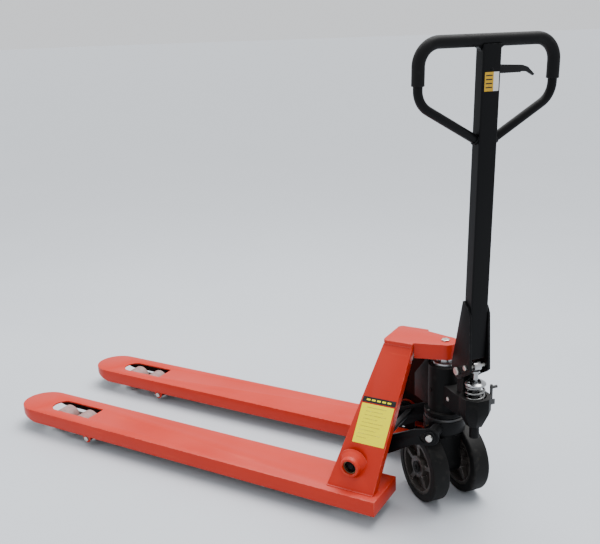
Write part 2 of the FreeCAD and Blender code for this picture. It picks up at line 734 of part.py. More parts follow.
def make_clevis(column):
    """Folded bracket that carries the column on the pump, with its pins and contact roller."""
    inside = column_width / 2
    outside = inside + cheek_sheet
    outline = [(80, 436), (86, 416), (98, 406), (handle_pivot_v + 6, 402), (130, 414),
               (plunger_v + 8, 430), (167, 440), (164, 500), (159, 590), (150, 608), (127, 622)]
    cheeks = side_plate(outline, -outside, outside).cut(side_plate(outline, -inside, inside))
    web = side_plate([(87, 462), (128, 620), (134, 618), (94, 462)], -inside, inside)
    bores = spindle(tilt_pin_radius, -60, 60, handle_pivot_v, handle_pivot_z)
    bores = bores.fuse(spindle(cam_pin_radius, -60, 60, plunger_v, contact_roller_z))
    clevis = steered(cheeks).fuse(steered(web).cut(column))
    save("handle_clevis", clevis.cut(column).cut(steered(bores)).removeSplitter())

    head = 5.5
    pins = (("handle_pivot_pin", tilt_pin_radius, 10.5, handle_pivot_v, handle_pivot_z),
            ("contact_roller_pin", cam_pin_radius, 6.5, plunger_v, contact_roller_z))
    for name, radius, head_radius, v, z in pins:
        pin = spindle(radius, -outside - past, outside + past, v, z)
        for side in (-1, 1):
            reach = sorted((side * outside, side * (outside + head)))
            pin = pin.fuse(spindle(head_radius, reach[0], reach[1], v, z))
        save(name, steered(pin.removeSplitter()))
    roller = spindle(contact_roller_radius, -10, 10, plunger_v, contact_roller_z)
    roller = roller.cut(spindle(cam_pin_radius + play, -10, 10, plunger_v, contact_roller_z))
    save("contact_roller", steered(roller))


def release_bore(radius):
    return Part.makeCylinder(radius, 40, Vector(-20, 0, release_height), along_x)


def make_release():
    """Hooked release lever on a cross pin in the column, with its pull rod."""
    outline = [(-12, 881), (-12, 895), (20, 898), (92, 894), (108, 889), (127, 872), (124, 868),
               (106, 878), (92, 879), (20, 878)]
    lever_half = 3.5
    rod_foot = 205.0
    rod_top = 874.0
    corners = [Vector(-lever_half, y, z) for y, z in outline]
    lever = Part.Face(Part.makePolygon(corners + corners[:1])).extrude(Vector(2 * lever_half, 0, 0))
    lever = lever.cut(release_bore(release_pin_radius + play))
    save("release_lever", leaned(lever))
    pin_start = Vector(-column_depth / 2 - past, 0, release_height)
    pin = Part.makeCylinder(release_pin_radius, column_depth + 2 * past, pin_start, along_x)
    save("release_pin", leaned(pin))
    rod = Part.makeCylinder(3.0, rod_top - rod_foot, Vector(0, -9, rod_foot), along_z)
    save("release_rod", leaned(rod))


make_frame()
make_truss()
make_rocker()
make_wheel_links()
make_pump()
make_steer_wheels()
make_plunger()
make_handle()
print("parts written:", len(os.listdir("parts")))
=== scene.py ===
import bmesh
import bpy
import json
import math
from mathutils import Matrix, Vector


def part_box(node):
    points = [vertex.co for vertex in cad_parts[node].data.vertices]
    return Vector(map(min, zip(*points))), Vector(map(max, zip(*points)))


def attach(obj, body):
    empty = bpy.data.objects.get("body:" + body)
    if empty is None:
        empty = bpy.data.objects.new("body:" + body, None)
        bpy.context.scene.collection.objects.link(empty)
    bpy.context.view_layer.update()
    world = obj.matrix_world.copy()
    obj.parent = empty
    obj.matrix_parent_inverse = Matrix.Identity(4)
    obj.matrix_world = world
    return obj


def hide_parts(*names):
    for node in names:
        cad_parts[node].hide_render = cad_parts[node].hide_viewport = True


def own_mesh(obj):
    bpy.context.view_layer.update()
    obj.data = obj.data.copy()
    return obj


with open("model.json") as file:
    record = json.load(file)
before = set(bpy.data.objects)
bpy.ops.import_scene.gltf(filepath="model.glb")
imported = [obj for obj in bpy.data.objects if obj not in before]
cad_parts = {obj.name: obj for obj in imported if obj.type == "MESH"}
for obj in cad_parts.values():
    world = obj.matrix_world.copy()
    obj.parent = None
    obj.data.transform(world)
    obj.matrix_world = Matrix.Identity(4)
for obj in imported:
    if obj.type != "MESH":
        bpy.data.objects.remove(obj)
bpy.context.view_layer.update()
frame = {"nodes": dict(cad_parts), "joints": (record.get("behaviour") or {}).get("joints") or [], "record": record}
mm = 0.001
joints = {joint["name"]: joint for joint in frame["joints"]}
bodyOfNode = {n: b for b, names in frame["record"]["behaviour"]["bodies"].items() for n in names}
slotOfNode = {part["node"]: part["material_slot"] for part in frame["record"]["subparts"]}
print("frame loaded:", len(frame["nodes"]), "nodes")

# directions and places of the steered unit, taken from its joints
upward = Vector((0, 0, 1))
across = Vector(joints["handle_tilt"]["axis"]).normalized()
ahead = across.cross(upward).normalized()
steerAxis = Vector(joints["steer"]["pos_m"])
columnUp = -Vector(joints["release_rod_pull"]["axis"]).normalized()
columnOut = Vector(joints["release_squeeze"]["axis"]).normalized()
leverPin = Vector(joints["release_squeeze"]["pos_m"])
rockerShaft = Vector(joints["rocker_swing"]["pos_m"])


class Wire:
    def __init__(self, recipe, socket):
        self.recipe = recipe
        self.socket = socket

    def reckon(self, operation, first, second):
        return self.recipe.node("ShaderNodeMath", {"operation": operation}, {0: first, 1: second})

    def __add__(self, other):
        return self.reckon("ADD", self, other)

    def __radd__(self, other):
        return self.reckon("ADD", other, self)

    def __sub__(self, other):
        return self.reckon("SUBTRACT", self, other)

    def __rsub__(self, other):
        return self.reckon("SUBTRACT", other, self)

    def __mul__(self, other):
        return self.reckon("MULTIPLY", self, other)

    def __rmul__(self, other):
        return self.reckon("MULTIPLY", other, self)


class Recipe:
    def __init__(self, name):
        self.material = bpy.data.materials.new(name)
        self.material.use_nodes = True
        self.tree = self.material.node_tree
        self.shader = self.tree.nodes["Principled BSDF"]
        self.place = self.node("ShaderNodeTexCoord", output="Object")

    def feed(self, socket, value):
        if isinstance(value, Wire):
            self.tree.links.new(value.socket, socket)
        else:
            socket.default_value = value

    def node(self, kind, settings=None, sockets=None, output=0):
        made = self.tree.nodes.new(kind)
        for key, value in (settings or {}).items():
            setattr(made, key, value)
        for key, value in (sockets or {}).items():
            self.feed(made.inputs[key], value)
        return Wire(self, made.outputs[output])

    def noise(self, scale, detail=3.0, stretch=(1, 1, 1)):
        spot = self.node("ShaderNodeMapping", {}, {"Vector": self.place, "Scale": stretch})
        return self.node("ShaderNodeTexNoise", {}, {"Vector": spot, "Scale": scale, "Detail": detail})

    def between(self, value, low, high, start=0.0, end=1.0):
        limits = {"Value": value, "From Min": low, "From Max": high, "To Min": start, "To Max": end}
        return self.node("ShaderNodeMapRange", {}, limits)

    def blend(self, share, first, second):
        colours = {0: share, 6: (*first, 1) if isinstance(first, tuple) else first,
                   7: (*second, 1) if isinstance(second, tuple) else second}
        return self.node("ShaderNodeMix", {"data_type": "RGBA"}, colours, 2)

    def edges(self, radius):  # 1 where the surface turns within the radius, 0 on the flat
        rounded = self.node("ShaderNodeBevel", {"samples": 4}, {"Radius": radius})
        plain = self.node("ShaderNodeNewGeometry", output="Normal")
        facing = self.node("ShaderNodeVectorMath", {"operation": "DOT_PRODUCT"}, {0: rounded, 1: plain}, 1)
        return self.between(1 - facing, 0.01, 0.12)

    def lyingFlat(self):  # 1 on faces that look up, where dust settles
        normal = self.node("ShaderNodeNewGeometry", output="Normal")
        upness = self.node("ShaderNodeSeparateXYZ", {}, {0: normal}, 2)
        return self.between(upness, 0.5, 1.0)

    def relief(self, height, strength, distance):
        bump = {"Height": height, "Strength": strength, "Distance": distance}
        return self.node("ShaderNodeBump", {}, bump)

    def finish(self, **sockets):
        for key, value in sockets.items():
            self.feed(self.shader.inputs[key.replace("_", " ")], value)
        return self.material


dustColour = (0.62, 0.60, 0.58)
grimeColour = (0.10, 0.085, 0.07)
chipScale = 90.0
grimeScale = 38.0
scuffFade = 0.09
coatRelief = 0.6 * mm
metalRelief = 0.3 * mm


def makeCoating(name, look):
    recipe = Recipe(name)
    patches = recipe.noise(look["patchScale"], 4.0)
    peel = recipe.noise(look["peelScale"], 2.0)
    scuffs = recipe.noise(look["scuffScale"], 6.0, look.get("scuffStretch", (1, 1, 1)))
    scuffMask = recipe.between(scuffs, look["scuffFrom"], look["scuffFrom"] + scuffFade)
    chips = recipe.between(recipe.noise(chipScale, 5.0), 0.44, 0.60)
    # edge mask of rubbed paint; on frame_paint its pale pink tint is also a painted highlight along the top edges
    rubbedAndHighlitEdges = recipe.edges(look["wearWidth"]) * chips * look["wear"]
    dust = recipe.lyingFlat() * recipe.between(patches, 0.3, 0.75) * look["dust"]
    colour = recipe.blend(patches, look["deep"], look["light"])
    colour = recipe.blend(scuffMask * look["scuffShare"], colour, look["scuffTint"])
    colour = recipe.blend(dust, colour, dustColour)
    colour = recipe.blend(rubbedAndHighlitEdges, colour, look["under"])
    roughness = look["roughness"] + patches * look["roughSpread"] + scuffMask * 0.12 + dust * 0.3
    height = peel * look["peelHeight"] + patches * 0.3 - rubbedAndHighlitEdges * 0.6 - scuffMask * 0.15
    return recipe.finish(Base_Color=colour, Roughness=roughness, Specular_IOR_Level=look.get("gloss", 0.3),
                         Normal=recipe.relief(height, look["bump"], coatRelief))


def makeMetal(name, look):
    recipe = Recipe(name)
    grain = recipe.noise(look["grainScale"], 3.0, look["grainStretch"])
    cloud = recipe.noise(look["cloudScale"], 4.0)
    grime = recipe.between(recipe.noise(grimeScale, 5.0), 0.52, 0.72) * look["grime"]
    colour = recipe.blend(cloud, look["deep"], look["light"])
    colour = recipe.blend(grime, colour, grimeColour)
    roughness = look["roughness"] + grain * look["roughSpread"] + grime * 0.35
    return recipe.finish(Base_Color=colour, Metallic=1.0 - grime * 0.6, Roughness=roughness,
                         Normal=recipe.relief(grain + cloud * 0.4, look["bump"], metalRelief))


coatings = {
    # the pale pink on frame_paint's edges is partly worn paint and partly a painted highlight
    "frame_paint": dict(deep=(0.43, 0.014, 0.003), light=(0.56, 0.022, 0.005), under=(0.88, 0.34, 0.24),
                        scuffTint=(0.64, 0.055, 0.022), patchScale=4.0, peelScale=420.0, peelHeight=0.35,
                        scuffScale=14.0, scuffStretch=(0.5, 4.0, 4.0), scuffFrom=0.64, scuffShare=0.30,
                        wearWidth=2.0 * mm, wear=0.55, dust=0.03, roughness=0.32, roughSpread=0.14, bump=0.22,
                        gloss=0.26),
    "black_paint": dict(deep=(0.0016, 0.0016, 0.002), light=(0.0036, 0.0036, 0.0042),
                        under=(0.10, 0.10, 0.10), scuffTint=(0.012, 0.012, 0.012), patchScale=7.0,
                        peelScale=500.0, peelHeight=0.4,
                        scuffScale=26.0, scuffStretch=(3, 3, 0.6), scuffFrom=0.66, scuffShare=0.35,
                        wearWidth=1.6 * mm, wear=0.5, dust=0.03, roughness=0.34, roughSpread=0.16, bump=0.25,
                        gloss=0.12),
    "black_casting": dict(deep=(0.0016, 0.0016, 0.0018), light=(0.0042, 0.0042, 0.0042),
                          under=(0.09, 0.085, 0.08), scuffTint=(0.012, 0.011, 0.010), patchScale=11.0,
                          peelScale=210.0, peelHeight=1.0,
                          scuffScale=30.0, scuffFrom=0.58, scuffShare=0.5, wearWidth=1.8 * mm, wear=0.5,
                          dust=0.05, roughness=0.42, roughSpread=0.2, bump=0.5, gloss=0.10),
    "wheel_casting": dict(deep=(0.016, 0.013, 0.011), light=(0.042, 0.035, 0.030), under=(0.50, 0.47, 0.44),
                          scuffTint=(0.08, 0.07, 0.06), patchScale=13.0, peelScale=230.0, peelHeight=0.8,
                          scuffScale=34.0, scuffFrom=0.57, scuffShare=0.5, wearWidth=1.8 * mm, wear=0.7,
                          dust=0.06, roughness=0.36, roughSpread=0.2, bump=0.4, gloss=0.3),
    "tyre_rubber": dict(deep=(0.003, 0.003, 0.003), light=(0.008, 0.0078, 0.0075), under=(0.04, 0.038, 0.036),
                        scuffTint=(0.024, 0.022, 0.020), patchScale=18.0, peelScale=330.0, peelHeight=0.7,
                        scuffScale=48.0, scuffFrom=0.55, scuffShare=0.5, wearWidth=2.5 * mm, wear=0.5,
                        dust=0.05, roughness=0.50, roughSpread=0.2, bump=0.4, gloss=0.14),
    "grip_rubber": dict(deep=(0.0018, 0.0018, 0.002), light=(0.004, 0.004, 0.0045), under=(0.04, 0.04, 0.04),
                        scuffTint=(0.02, 0.02, 0.02), patchScale=14.0, peelScale=650.0, peelHeight=0.9,
                        scuffScale=40.0, scuffFrom=0.62, scuffShare=0.4, wearWidth=1.5 * mm, wear=0.3,
                        dust=0.03, roughness=0.50, roughSpread=0.15, bump=0.3, gloss=0.16),
    "black_plastic": dict(deep=(0.004, 0.004, 0.0045), light=(0.010, 0.010, 0.011), under=(0.05, 0.05, 0.05),
                          scuffTint=(0.02, 0.02, 0.02), patchScale=20.0, peelScale=700.0, peelHeight=0.8,
                          scuffScale=60.0, scuffFrom=0.60, scuffShare=0.4, wearWidth=1.0 * mm, wear=0.4,
                          dust=0.03, roughness=0.38, roughSpread=0.2, bump=0.25, gloss=0.2),
    "nylon": dict(deep=(0.15, 0.065, 0.060), light=(0.40, 0.25, 0.235), under=(0.30, 0.24, 0.22),
                  scuffTint=(0.16, 0.12, 0.11), patchScale=26.0, peelScale=380.0, peelHeight=0.5,
                  scuffScale=42.0, scuffStretch=(1, 3.5, 1), scuffFrom=0.57, scuffShare=0.6,
                  wearWidth=2.0 * mm, wear=0.5, dust=0.1, roughness=0.38, roughSpread=0.25, bump=0.35),
    # painted shade: a near-black red for the inner faces of the fork channels and legs, where shade falls
    "channelInside": dict(deep=(0.012, 0.004, 0.003), light=(0.045, 0.007, 0.004), under=(0.05, 0.03, 0.025),
                          scuffTint=(0.008, 0.006, 0.005), patchScale=9.0, peelScale=300.0, peelHeight=0.6,
                          scuffScale=22.0, scuffFrom=0.50, scuffShare=0.75, wearWidth=1.5 * mm, wear=0.2,
                          dust=0.03, roughness=0.65, roughSpread=0.2, bump=0.4, gloss=0.08),
    "weldPaint": dict(deep=(0.40, 0.013, 0.003), light=(0.56, 0.024, 0.006), under=(0.70, 0.22, 0.15),
                      scuffTint=(0.30, 0.03, 0.02), patchScale=40.0, peelScale=500.0, peelHeight=0.6,
                      scuffScale=70.0, scuffFrom=0.58, scuffShare=0.4, wearWidth=1.0 * mm, wear=0.4,
                      dust=0.1, roughness=0.28, roughSpread=0.16, bump=0.35, gloss=0.45),
    "labelYellow": dict(deep=(0.95, 0.84, 0.0), light=(1.0, 0.92, 0.001), under=(0.95, 0.90, 0.40),
                        scuffTint=(0.90, 0.78, 0.01), patchScale=12.0, peelScale=600.0, peelHeight=0.2,
                        scuffScale=55.0, scuffFrom=0.62, scuffShare=0.45, wearWidth=1.2 * mm, wear=0.6,
                        dust=0.0, roughness=0.42, roughSpread=0.16, bump=0.12, gloss=0.08),
    "labelInk": dict(deep=(0.42, 0.36, 0.02), light=(0.60, 0.52, 0.03), under=(0.86, 0.82, 0.50),
                     scuffTint=(0.75, 0.66, 0.05), patchScale=60.0, peelScale=600.0, peelHeight=0.2,
                     scuffScale=70.0, scuffFrom=0.52, scuffShare=0.8, wearWidth=0.6 * mm, wear=0.4,
                     dust=0.0, roughness=0.42, roughSpread=0.16, bump=0.1),
    "labelBlack": dict(deep=(0.006, 0.006, 0.006), light=(0.014, 0.014, 0.013), under=(0.20, 0.18, 0.12),
                       scuffTint=(0.06, 0.055, 0.04), patchScale=14.0, peelScale=600.0, peelHeight=0.2,
                       scuffScale=60.0, scuffFrom=0.60, scuffShare=0.5, wearWidth=0.9 * mm, wear=0.5,
                       dust=0.0, roughness=0.40, roughSpread=0.16, bump=0.12),
    "stickerGold": dict(deep=(0.46, 0.25, 0.008), light=(0.64, 0.38, 0.015), under=(0.70, 0.60, 0.40),
                        scuffTint=(0.22, 0.13, 0.04), patchScale=40.0, peelScale=600.0, peelHeight=0.2,
                        scuffScale=80.0, scuffFrom=0.60, scuffShare=0.5, wearWidth=0.8 * mm, wear=0.5,
                        dust=0.0, roughness=0.38, roughSpread=0.16, bump=0.1),
    "stickerWhite": dict(deep=(0.55, 0.55, 0.53), light=(0.76, 0.76, 0.74), under=(0.40, 0.39, 0.37),
                         scuffTint=(0.30, 0.29, 0.27), patchScale=40.0, peelScale=600.0, peelHeight=0.2,
                         scuffScale=80.0, scuffFrom=0.60, scuffShare=0.5, wearWidth=0.8 * mm, wear=0.5,
                         dust=0.0, roughness=0.40, roughSpread=0.16, bump=0.1),
}
metals = {
    "zinc_steel": dict(deep=(0.42, 0.41, 0.38), light=(0.66, 0.65, 0.62), grainScale=240.0,
                       grainStretch=(1, 1, 1), cloudScale=26.0, grime=0.5, roughness=0.24,
                       roughSpread=0.25, bump=0.12),
    "bearing_steel": dict(deep=(0.34, 0.34, 0.35), light=(0.55, 0.55, 0.55), grainScale=300.0,
                          grainStretch=(1, 0.15, 1), cloudScale=30.0, grime=0.6, roughness=0.20,
                          roughSpread=0.25, bump=0.10),
    "spring_steel": dict(deep=(0.16, 0.16, 0.16), light=(0.34, 0.34, 0.33), grainScale=280.0,
                         grainStretch=(1, 1, 1), cloudScale=30.0, grime=0.15, roughness=0.16,
                         roughSpread=0.18, bump=0.08),
    "chrome": dict(deep=(0.26, 0.265, 0.27), light=(0.50, 0.51, 0.52), grainScale=180.0,
                   grainStretch=(1, 1, 0.3), cloudScale=34.0, grime=0.35, roughness=0.12,
                   roughSpread=0.16, bump=0.05),
    # a steel much darker and grimier than bearing_steel, for the wheel bearings, thrust bearing and valve parts
    "bearingShield": dict(deep=(0.05, 0.05, 0.052), light=(0.12, 0.12, 0.12), grainScale=300.0,
                          grainStretch=(1, 0.15, 1), cloudScale=30.0, grime=0.8, roughness=0.40,
                          roughSpread=0.25, bump=0.10),
    "bronze": dict(deep=(0.14, 0.085, 0.045), light=(0.28, 0.18, 0.10), grainScale=260.0,
                   grainStretch=(1, 0.2, 1), cloudScale=28.0, grime=0.7, roughness=0.34,
                   roughSpread=0.2, bump=0.12),
}
finishes = {name: makeCoating(name, look) for name, look in coatings.items()}
finishes.update({name: makeMetal(name, look) for name, look in metals.items()})
print("finishes made:", len(finishes))


def startClean():
    if bpy.context.object and bpy.context.object.mode != "OBJECT":
        bpy.ops.object.mode_set(mode="OBJECT")
    bpy.ops.object.select_all(action="DESELECT")


def openUp(piece, mode="FACE"):
    startClean()
    piece.select_set(True)
    bpy.context.view_layer.objects.active = piece
    bpy.ops.object.mode_set(mode="EDIT")
    bpy.ops.mesh.select_mode(type=mode)


def closeUp():
    bpy.ops.object.mode_set(mode="OBJECT")


def dress(piece, finish):
    piece.data.materials.clear()
    piece.data.materials.append(finish)


def camel(nodeName):
    first, *rest = nodeName.split("_")
    return first + "".join(word.capitalize() for word in rest)


softening = {  # bevel width of each finish's edges, and of nodes that differ
    "frame_paint": 1.6 * mm, "black_paint": 1.0 * mm, "black_casting": 1.6 * mm, "wheel_casting": 1.2 * mm,
    "zinc_steel": 0.5 * mm, "bearing_steel": 0.4 * mm, "black_plastic": 1.0 * mm, "nylon": 0.6 * mm,
    "bronze": 0.3 * mm, "chrome": 0.5 * mm, "crosshead": 2.2 * mm, "oil_tank": 3.0 * mm,
    "handle_column": 0.0, "tyre_rubber": 0.0, "grip_rubber": 0.0, "spring_steel": 0.0,
}
creaseAngle = math.radians(28)
ownFinish = {  # nodes that look unlike the rest of their slot
    "release_pin": "black_paint", "wheel_bearings_left": "bearingShield",
    "wheel_bearings_right": "bearingShield", "thrust_bearing": "bearingShield",
    "lowering_valve": "bearingShield", "valve_lever": "bearingShield",
}
crossheadCorner = 14 * mm


def pick(kind, test):
    mesh = bmesh.from_edit_mesh(bpy.context.object.data)
    bpy.ops.mesh.select_all(action="DESELECT")
    for item in getattr(mesh, kind):
        item.select_set(bool(test(item)))
    mesh.select_flush_mode()
    bmesh.update_edit_mesh(bpy.context.object.data)


def isFrontCorner(edge, low, high):  # an upright edge at a front corner of the crosshead's plate
    first, second = edge.verts[0].co, edge.verts[1].co
    isUpright = abs(first.x - second.x) + abs(first.y - second.y) < 0.1 * mm
    isFront = first.x < low.x + 0.5 * mm and abs(first.y) > high.y - 0.5 * mm
    return isUpright and isFront


def makeSoftCopy(nodeName):
    slot = slotOfNode[nodeName]
    piece = bpy.data.objects.new(camel(nodeName), frame["nodes"][nodeName].data.copy())
    bpy.context.scene.collection.objects.link(piece)
    openUp(piece, "VERT")
    bpy.ops.mesh.select_all(action="SELECT")
    bpy.ops.mesh.remove_doubles(threshold=0.01 * mm)
    bpy.ops.mesh.dissolve_limited(angle_limit=math.radians(0.4))
    if nodeName == "crosshead":
        low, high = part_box(nodeName)
        bpy.ops.mesh.select_mode(type="EDGE")
        pick("edges", lambda edge: isFrontCorner(edge, low, high))
        bpy.ops.mesh.bevel(offset=crossheadCorner, segments=7)
    closeUp()
    bpy.ops.mesh.customdata_custom_splitnormals_clear()
    width = softening.get(nodeName, softening.get(slot, 0.0))
    if width:
        bevel = piece.modifiers.new("softEdges", "BEVEL")
        bevel.width = width
        bevel.segments = 2
        bevel.limit_method = "ANGLE"
        bevel.angle_limit = creaseAngle
        bevel.use_clamp_overlap = True
        bpy.ops.object.modifier_apply(modifier=bevel.name)
    bpy.ops.object.shade_smooth_by_angle(angle=creaseAngle)
    dress(piece, finishes[ownFinish.get(nodeName, slot)])
    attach(piece, bodyOfNode[nodeName])
    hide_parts(nodeName)
    return piece


pieces = {name: makeSoftCopy(name) for name in sorted(frame["nodes"])}
print("softened copies:", len(pieces))


def isInsideChannel(face, low, high, sheet, nose=82 * mm):  # faces that look at the channel's middle line
    spot = face.calc_center_median()
    middle = Vector((min(max(spot.x, low.x + nose), high.x - nose), (low.y + high.y) / 2, spot.z))
    looksIn = face.normal.dot((middle - spot).normalized()) > 0.2
    isUnderTop = face.normal.z < -0.5 and spot.z > (low.z + high.z) / 2
    return isUnderTop or (looksIn and spot.z < high.z - sheet * 0.9)


def paintFaces(piece, finish, test):  # a second material on the faces that pass the test
    piece.data.materials.append(finishes[finish])
    openUp(piece)
    pick("faces", test)
    piece.active_material_index = 1
    bpy.ops.object.material_slot_assign()
    closeUp()


def paintShadeAndSecondFinishes(sheet=5 * mm, headRadius=9.2 * mm):
    for side, sign in (("left", 1), ("right", -1)):
        low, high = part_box("fork_" + side)
        # painted shade: the inner faces of the fork channels and of the legs get a near-black red
        paintFaces(pieces["fork_" + side], "channelInside",
                   lambda face: isInsideChannel(face, low, high, sheet))
        paintFaces(pieces["leg_" + side], "channelInside", lambda face: face.normal.y * sign > 0.35)
    low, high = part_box("trunnion_bolts")
    axle = (Vector(low) + Vector(high)) / 2


    def isOffHead(vert):
        return math.hypot(vert.co.x - axle.x, vert.co.z - axle.z) > headRadius

    paintFaces(pieces["trunnion_bolts"], "black_paint", lambda face: any(map(isOffHead, face.verts)))


paintShadeAndSecondFinishes()


def squashSpring():  # gives the spring its own copy of its mesh
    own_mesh(pieces["plunger_spring"])


squashSpring()


def setIn(spot, zAxis, xAxis):  # a local frame standing on spot, Z along zAxis
    zAxis = Vector(zAxis).normalized()
    xAxis = (Vector(xAxis) - zAxis * Vector(xAxis).dot(zAxis)).normalized()
    turned = Matrix((xAxis, zAxis.cross(xAxis), zAxis)).transposed().to_4x4()
    return Matrix.Translation(spot) @ turned


def settle(piece, place, body, finish):
    startClean()
    piece.select_set(True)
    bpy.context.view_layer.objects.active = piece
    piece.matrix_world = place
    bpy.ops.object.transform_apply(location=True, rotation=True, scale=True)
    dress(piece, finishes[finish])
    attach(piece, body)
    return piece


def copyTo(source, name, place, body, finish):
    piece = bpy.data.objects.new(name, source.data.copy())
    bpy.context.scene.collection.objects.link(piece)
    return settle(piece, place, body, finish)


def discard(source):
    bpy.data.objects.remove(source)


def smooth(piece, angle=30):
    startClean()
    piece.select_set(True)
    bpy.context.view_layer.objects.active = piece
    bpy.ops.object.shade_smooth_by_angle(angle=math.radians(angle))


def steeredPoint(forward, sideways, height):
    return Vector((steerAxis.x, steerAxis.y, 0)) + ahead * forward + across * sideways + upward * height


def columnPoint(outward, sideways, along):  # along is measured up the column from the release pin
    return leverPin + columnOut * outward + across * sideways + columnUp * along


def addPanel(name, corners, outward, thickness, body, finish):
    startClean()
    bpy.ops.mesh.primitive_plane_add(size=1.0, location=(0, 0, 0))
    panel = bpy.context.object
    panel.name = name
    openUp(panel, "VERT")
    signs = ((-1, -1), (1, -1), (1, 1), (-1, 1))
    for (signX, signY), corner in zip(signs, corners):
        start = Vector((signX * 0.5, signY * 0.5, 0))
        pick("verts", lambda vert: (vert.co - start).length < 0.01)
        bpy.ops.transform.translate(value=Vector(corner) - start)
    bpy.ops.mesh.select_mode(type="FACE")
    bpy.ops.mesh.select_all(action="SELECT")
    bpy.ops.mesh.extrude_region_move(TRANSFORM_OT_translate={"value": Vector(outward) * thickness})
    bpy.ops.mesh.select_all(action="SELECT")
    bpy.ops.mesh.normals_make_consistent(inside=False)
    closeUp()
    dress(panel, finishes[finish])
    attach(panel, body)
    return panel


legLow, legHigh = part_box("leg_left")
leg = dict(frontLean=98 * mm, rearLean=43 * mm, flange=34 * mm)
legLean = (legHigh.y - leg["flange"] - legLow.y) / (legHigh.z - legLow.z)
legOutward = Vector((0, -1, legLean)).normalized()


def legPoint(share, height, lift=0.0):  # a spot on the near leg's outer face, share 0 front to 1 rear
    climbed = (height - legLow.z) / (legHigh.z - legLow.z)
    front = legLow.x + climbed * leg["frontLean"]
    rear = legHigh.x - (1 - climbed) * leg["rearLean"]
    spot = Vector((front + share * (rear - front), legLow.y + (height - legLow.z) * legLean, height))
    return spot + legOutward * lift


label = dict(bottom=200 * mm, top=300 * mm, footStart=0.185, headStart=0.075, end=0.955, film=0.35 * mm,
             stripBottom=303 * mm, stripTop=317 * mm, stripStart=0.05, stripEnd=0.97, ink=0.12 * mm,
             blocks=5, blockStart=0.16, blockPitch=0.145, blockWidth=0.10, blockMargin=5 * mm,
             ruleStart=0.24, ruleHeight=1.5 * mm, rulePitch=9.5 * mm,
             ruleEnds=(0.78, 0.70, 0.82, 0.62, 0.80, 0.74, 0.66, 0.80, 0.48))


def addInk(name, start, end, low, high, finish):
    corners = [legPoint(start, low, label["film"]), legPoint(end, low, label["film"]),
               legPoint(end, high, label["film"]), legPoint(start, high, label["film"])]
    addPanel(name, corners, legOutward, label["ink"], "frame", finish)


def makeLabel():
    low, high = label["bottom"], label["top"]
    corners = [legPoint(label["footStart"], low), legPoint(label["end"], low),
               legPoint(label["end"], high), legPoint(label["headStart"], high)]
    addPanel("labelPanel", corners, legOutward, label["film"], "frame", "labelYellow")
    low, high = label["stripBottom"], label["stripTop"]
    start, end = label["stripStart"], label["stripEnd"]
    corners = [legPoint(start, low), legPoint(end, low), legPoint(end, high), legPoint(start, high)]
    addPanel("labelStrip", corners, legOutward, label["film"], "frame", "labelBlack")
    for count in range(label["blocks"]):  # a plain row of blocks and plain rules, in place of any wording
        start = label["blockStart"] + count * label["blockPitch"]
        addInk("labelBlock%d" % count, start, start + label["blockWidth"], low + label["blockMargin"],
               high - label["blockMargin"], "labelYellow")
    for count, end in enumerate(label["ruleEnds"]):
        height = label["top"] - (count + 1) * label["rulePitch"]
        addInk("labelRule%d" % count, label["ruleStart"], end, height, height + label["ruleHeight"], "labelInk")


def reach(nodeName, direction):  # how far a node's mesh goes from the release pin along a direction
    return max((vert.co - leverPin).dot(direction) for vert in frame["nodes"][nodeName].data.vertices)


columnFace = reach("handle_column", columnOut)
columnSide = reach("handle_column", across)
sticker = dict(left=-18.5 * mm, split=5.0 * mm, right=19.5 * mm, bottom=-48 * mm, top=-5 * mm, film=0.3 * mm,
               barOffsets=(-13 * mm, -4 * mm, 5 * mm, 14 * mm), barHalf=1.4 * mm, barMargin=3 * mm,
               barInk=0.1 * mm)


def makeSticker():
    face = columnFace
    for name, start, end, finish in (("stickerGold", "left", "split", "stickerGold"),
                                     ("stickerWhite", "split", "right", "stickerWhite")):
        spans = ((start, "bottom"), (end, "bottom"), (end, "top"), (start, "top"))
        corners = [columnPoint(face, sticker[side], sticker[height]) for side, height in spans]
        addPanel(name, corners, columnOut, sticker["film"], "handle", finish)
    middle = (sticker["bottom"] + sticker["top"]) / 2
    for count, offset in enumerate(sticker["barOffsets"]):
        low, high = middle + offset - sticker["barHalf"], middle + offset + sticker["barHalf"]
        left, right = sticker["left"] + sticker["barMargin"], sticker["split"] - sticker["barMargin"]
        lift = face + sticker["film"]
        corners = [columnPoint(lift, left, low), columnPoint(lift, right, low),
                   columnPoint(lift, right, high), columnPoint(lift, left, high)]
        addPanel("stickerBar%d" % count, corners, columnOut, sticker["barInk"], "handle", "labelBlack")


makeLabel()
makeSticker()
print("panels placed")

flare = dict(base=43 * mm, tip=27 * mm, outer=-219 * mm, depth=20 * mm, sheet=2 * mm, waist=0.955)


